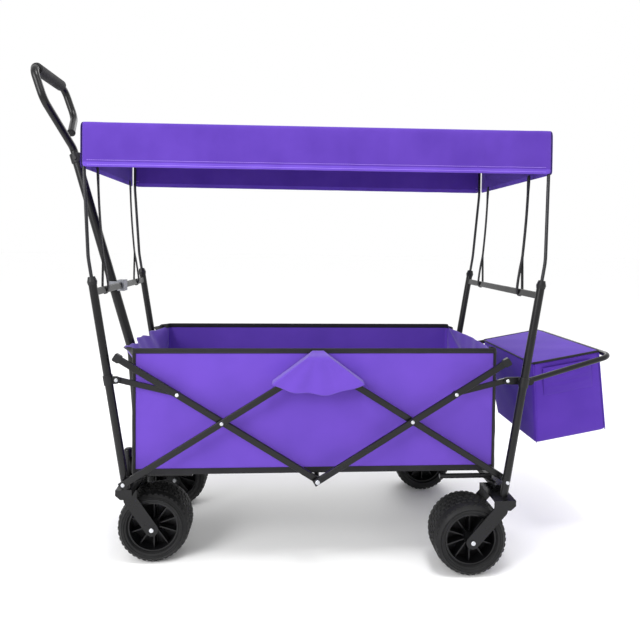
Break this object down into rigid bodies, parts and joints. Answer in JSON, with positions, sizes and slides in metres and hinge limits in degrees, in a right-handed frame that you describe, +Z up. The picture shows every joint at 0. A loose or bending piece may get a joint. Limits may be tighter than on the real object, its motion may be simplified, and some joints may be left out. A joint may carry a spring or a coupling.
{
  "type": "folding pull wagon",
  "caption": "Folding pull wagon: fabric tub between crossed side bars, fabric canopy on rods, telescopic pull handle, front casters and a lidded rear bag.",
  "frame": {"origin": "on the ground under the middle of the whole wagon, handle and bag included", "axes": "+X towards the rear bag, -X towards the pull handle, +Y across the wagon, +Z up"},
  "size_m": [1.528, 0.601, 1.2563],
  "materials": {
    "black_plastic": "matt black moulded plastic",
    "black_rod": "satin black rod",
    "board_fabric": "purple polyester over board",
    "canopy_fabric": "matt purple woven polyester",
    "dark_fabric": "black webbing",
    "frame_steel": "satin black powder coat",
    "grey_plastic": "matt grey moulded plastic",
    "grip_foam": "matt black foam",
    "purple_fabric": "matt purple woven polyester",
    "rim_plastic": "matt black moulded plastic",
    "rivet_steel": "bright zinc plated",
    "tyre_rubber": "matt black moulded tyre"
  },
  "bodies": {
    "rear_frame": {"rear_uprights": "frame_steel", "rear_crossbar": "frame_steel", "rear_upright_caps": "black_plastic", "rear_underframe": "frame_steel", "rear_forks": "frame_steel", "rear_axles": "rivet_steel", "rear_link_brackets": "black_plastic", "rear_foot_rivets": "rivet_steel", "bag_pivot_pins": "rivet_steel", "canopy_rod_rear": "black_rod", "canopy_cover": "canopy_fabric", "rear_canopy_straps": "dark_fabric"},
    "front_frame": {"front_uprights": "frame_steel", "front_crossbar": "frame_steel", "front_upright_caps": "black_plastic", "front_underframe": "frame_steel", "swivel_sockets": "black_plastic", "front_link_brackets": "black_plastic", "front_foot_rivets": "rivet_steel", "handle_pivot_pin": "rivet_steel", "handle_clip": "grey_plastic", "canopy_rod_front": "black_rod", "front_canopy_straps": "dark_fabric"},
    "rear_lower_bars": {"rear_lower_bars": "frame_steel"},
    "rear_upper_bars": {"rear_upper_bars": "frame_steel", "rear_cross_rivets": "rivet_steel", "rear_corner_caps": "black_plastic", "centre_tube": "frame_steel"},
    "front_upper_bars": {"front_upper_bars": "frame_steel", "front_cross_rivets": "rivet_steel", "front_corner_caps": "black_plastic"},
    "front_lower_bars": {"front_lower_bars": "frame_steel", "top_centre_rivets": "rivet_steel"},
    "front_links": {"front_stay_links": "frame_steel"},
    "rear_links": {"rear_stay_links": "frame_steel"},
    "tub": {"tub_fabric": "purple_fabric", "floor_boards": "black_plastic", "floor_mat": "board_fabric", "tub_pockets": "purple_fabric"},
    "handle_stem": {"handle_stem": "frame_steel", "handle_collar": "black_plastic"},
    "handle_loop": {"handle_loop": "frame_steel", "handle_grip": "grip_foam", "handle_end_cap": "black_plastic"},
    "bag_frame": {"bag_frame": "frame_steel", "bag_body": "purple_fabric"},
    "bag_lid": {"bag_lid": "purple_fabric"},
    "caster_right": {"caster_fork_right": "frame_steel", "caster_axle_right": "rivet_steel"},
    "caster_left": {"caster_fork_left": "frame_steel", "caster_axle_left": "rivet_steel"},
    "front_wheel_right": {"front_tyre_right": "tyre_rubber", "front_rim_right": "rim_plastic"},
    "front_wheel_left": {"front_tyre_left": "tyre_rubber", "front_rim_left": "rim_plastic"},
    "rear_wheel_right": {"rear_tyre_right": "tyre_rubber", "rear_rim_right": "rim_plastic"},
    "rear_wheel_left": {"rear_tyre_left": "tyre_rubber", "rear_rim_left": "rim_plastic"}
  },
  "joints": [
    {"name": "fold", "type": "hinge", "parent": "rear_frame", "child": "rear_lower_bars", "pos_m": [0.43706, 0, 0.224], "axis": [0, 1, 0], "range_deg": [0, 39], "deforming": ["tub_fabric", "floor_boards", "floor_mat", "tub_pockets", "canopy_cover"]},
    {"name": "rear_cross", "type": "hinge", "parent": "rear_lower_bars", "child": "rear_upper_bars", "pos_m": [0.20756, 0, 0.36741], "axis": [0, 1, 0], "range_deg": [-78.5, 0.5]},
    {"name": "low_centre", "type": "hinge", "parent": "rear_upper_bars", "child": "front_upper_bars", "pos_m": [-0.02194, 0, 0.224], "axis": [0, 1, 0], "range_deg": [-0.5, 78.5]},
    {"name": "front_cross", "type": "hinge", "parent": "front_upper_bars", "child": "front_lower_bars", "pos_m": [-0.25144, 0, 0.36741], "axis": [0, 1, 0], "range_deg": [-78.5, 0.5]},
    {"name": "front_foot", "type": "hinge", "parent": "front_lower_bars", "child": "front_frame", "pos_m": [-0.48094, 0, 0.224], "axis": [0, 1, 0], "range_deg": [-0.5, 39.5]},
    {"name": "front_link_swing", "type": "hinge", "parent": "front_frame", "child": "front_links", "pos_m": [-0.50105, 0, 0.469], "axis": [0, 1, 0], "range_deg": [-76.82, 0.5]},
    {"name": "rear_link_swing", "type": "hinge", "parent": "rear_frame", "child": "rear_links", "pos_m": [0.44269, 0, 0.466], "axis": [0, 1, 0], "range_deg": [-0.5, 82.76]},
    {"name": "tub_rise", "type": "slide", "parent": "rear_frame", "child": "tub", "axis": [0, 0, 1], "range_m": [-0.001, 0.22594]},
    {"name": "handle_tilt", "type": "hinge", "parent": "front_frame", "child": "handle_stem", "pos_m": [-0.50394, 0, 0.2], "axis": [0, -1, 0], "range_deg": [0, 75]},
    {"name": "handle_extend", "type": "slide", "parent": "handle_stem", "child": "handle_loop", "axis": [-0.2756, 0, 0.9613], "range_m": [0, 0.25]},
    {"name": "bag_frame_tilt", "type": "hinge", "parent": "rear_frame", "child": "bag_frame", "pos_m": [0.49569, 0, 0.466], "axis": [0, -1, 0], "range_deg": [0, 45]},
    {"name": "bag_lid_open", "type": "hinge", "parent": "bag_frame", "child": "bag_lid", "pos_m": [0.53646, 0, 0.4945], "axis": [0, -1, 0], "range_deg": [0, 55]},
    {"name": "caster_swivel_right", "type": "hinge", "parent": "front_frame", "child": "caster_right", "pos_m": [-0.49594, 0.15, 0.189], "axis": [0, 0, 1], "continuous": true},
    {"name": "caster_swivel_left", "type": "hinge", "parent": "front_frame", "child": "caster_left", "pos_m": [-0.49594, -0.15, 0.189], "axis": [0, 0, 1], "continuous": true},
    {"name": "front_wheel_spin_right", "type": "hinge", "parent": "caster_right", "child": "front_wheel_right", "pos_m": [-0.42594, 0.15, 0.089], "axis": [0, 1, 0], "continuous": true},
    {"name": "front_wheel_spin_left", "type": "hinge", "parent": "caster_left", "child": "front_wheel_left", "pos_m": [-0.42594, -0.15, 0.089], "axis": [0, 1, 0], "continuous": true},
    {"name": "rear_wheel_spin_right", "type": "hinge", "parent": "rear_frame", "child": "rear_wheel_right", "pos_m": [0.34806, 0.242, 0.089], "axis": [0, 1, 0], "continuous": true},
    {"name": "rear_wheel_spin_left", "type": "hinge", "parent": "rear_frame", "child": "rear_wheel_left", "pos_m": [0.34806, -0.242, 0.089], "axis": [0, 1, 0], "continuous": true}
  ],
  "couplings": [
    {"joint": "rear_cross", "follows": "fold", "ratio": -2},
    {"joint": "low_centre", "follows": "fold", "ratio": 2},
    {"joint": "front_cross", "follows": "fold", "ratio": -2},
    {"joint": "front_foot", "follows": "fold", "ratio": 1},
    {"joint": "front_link_swing", "follows": "fold", "ratio": -1.9568},
    {"joint": "rear_link_swing", "follows": "fold", "ratio": 2.1094},
    {"joint": "tub_rise", "follows": "fold", "m_per_rad": 0.33047}
  ]
}
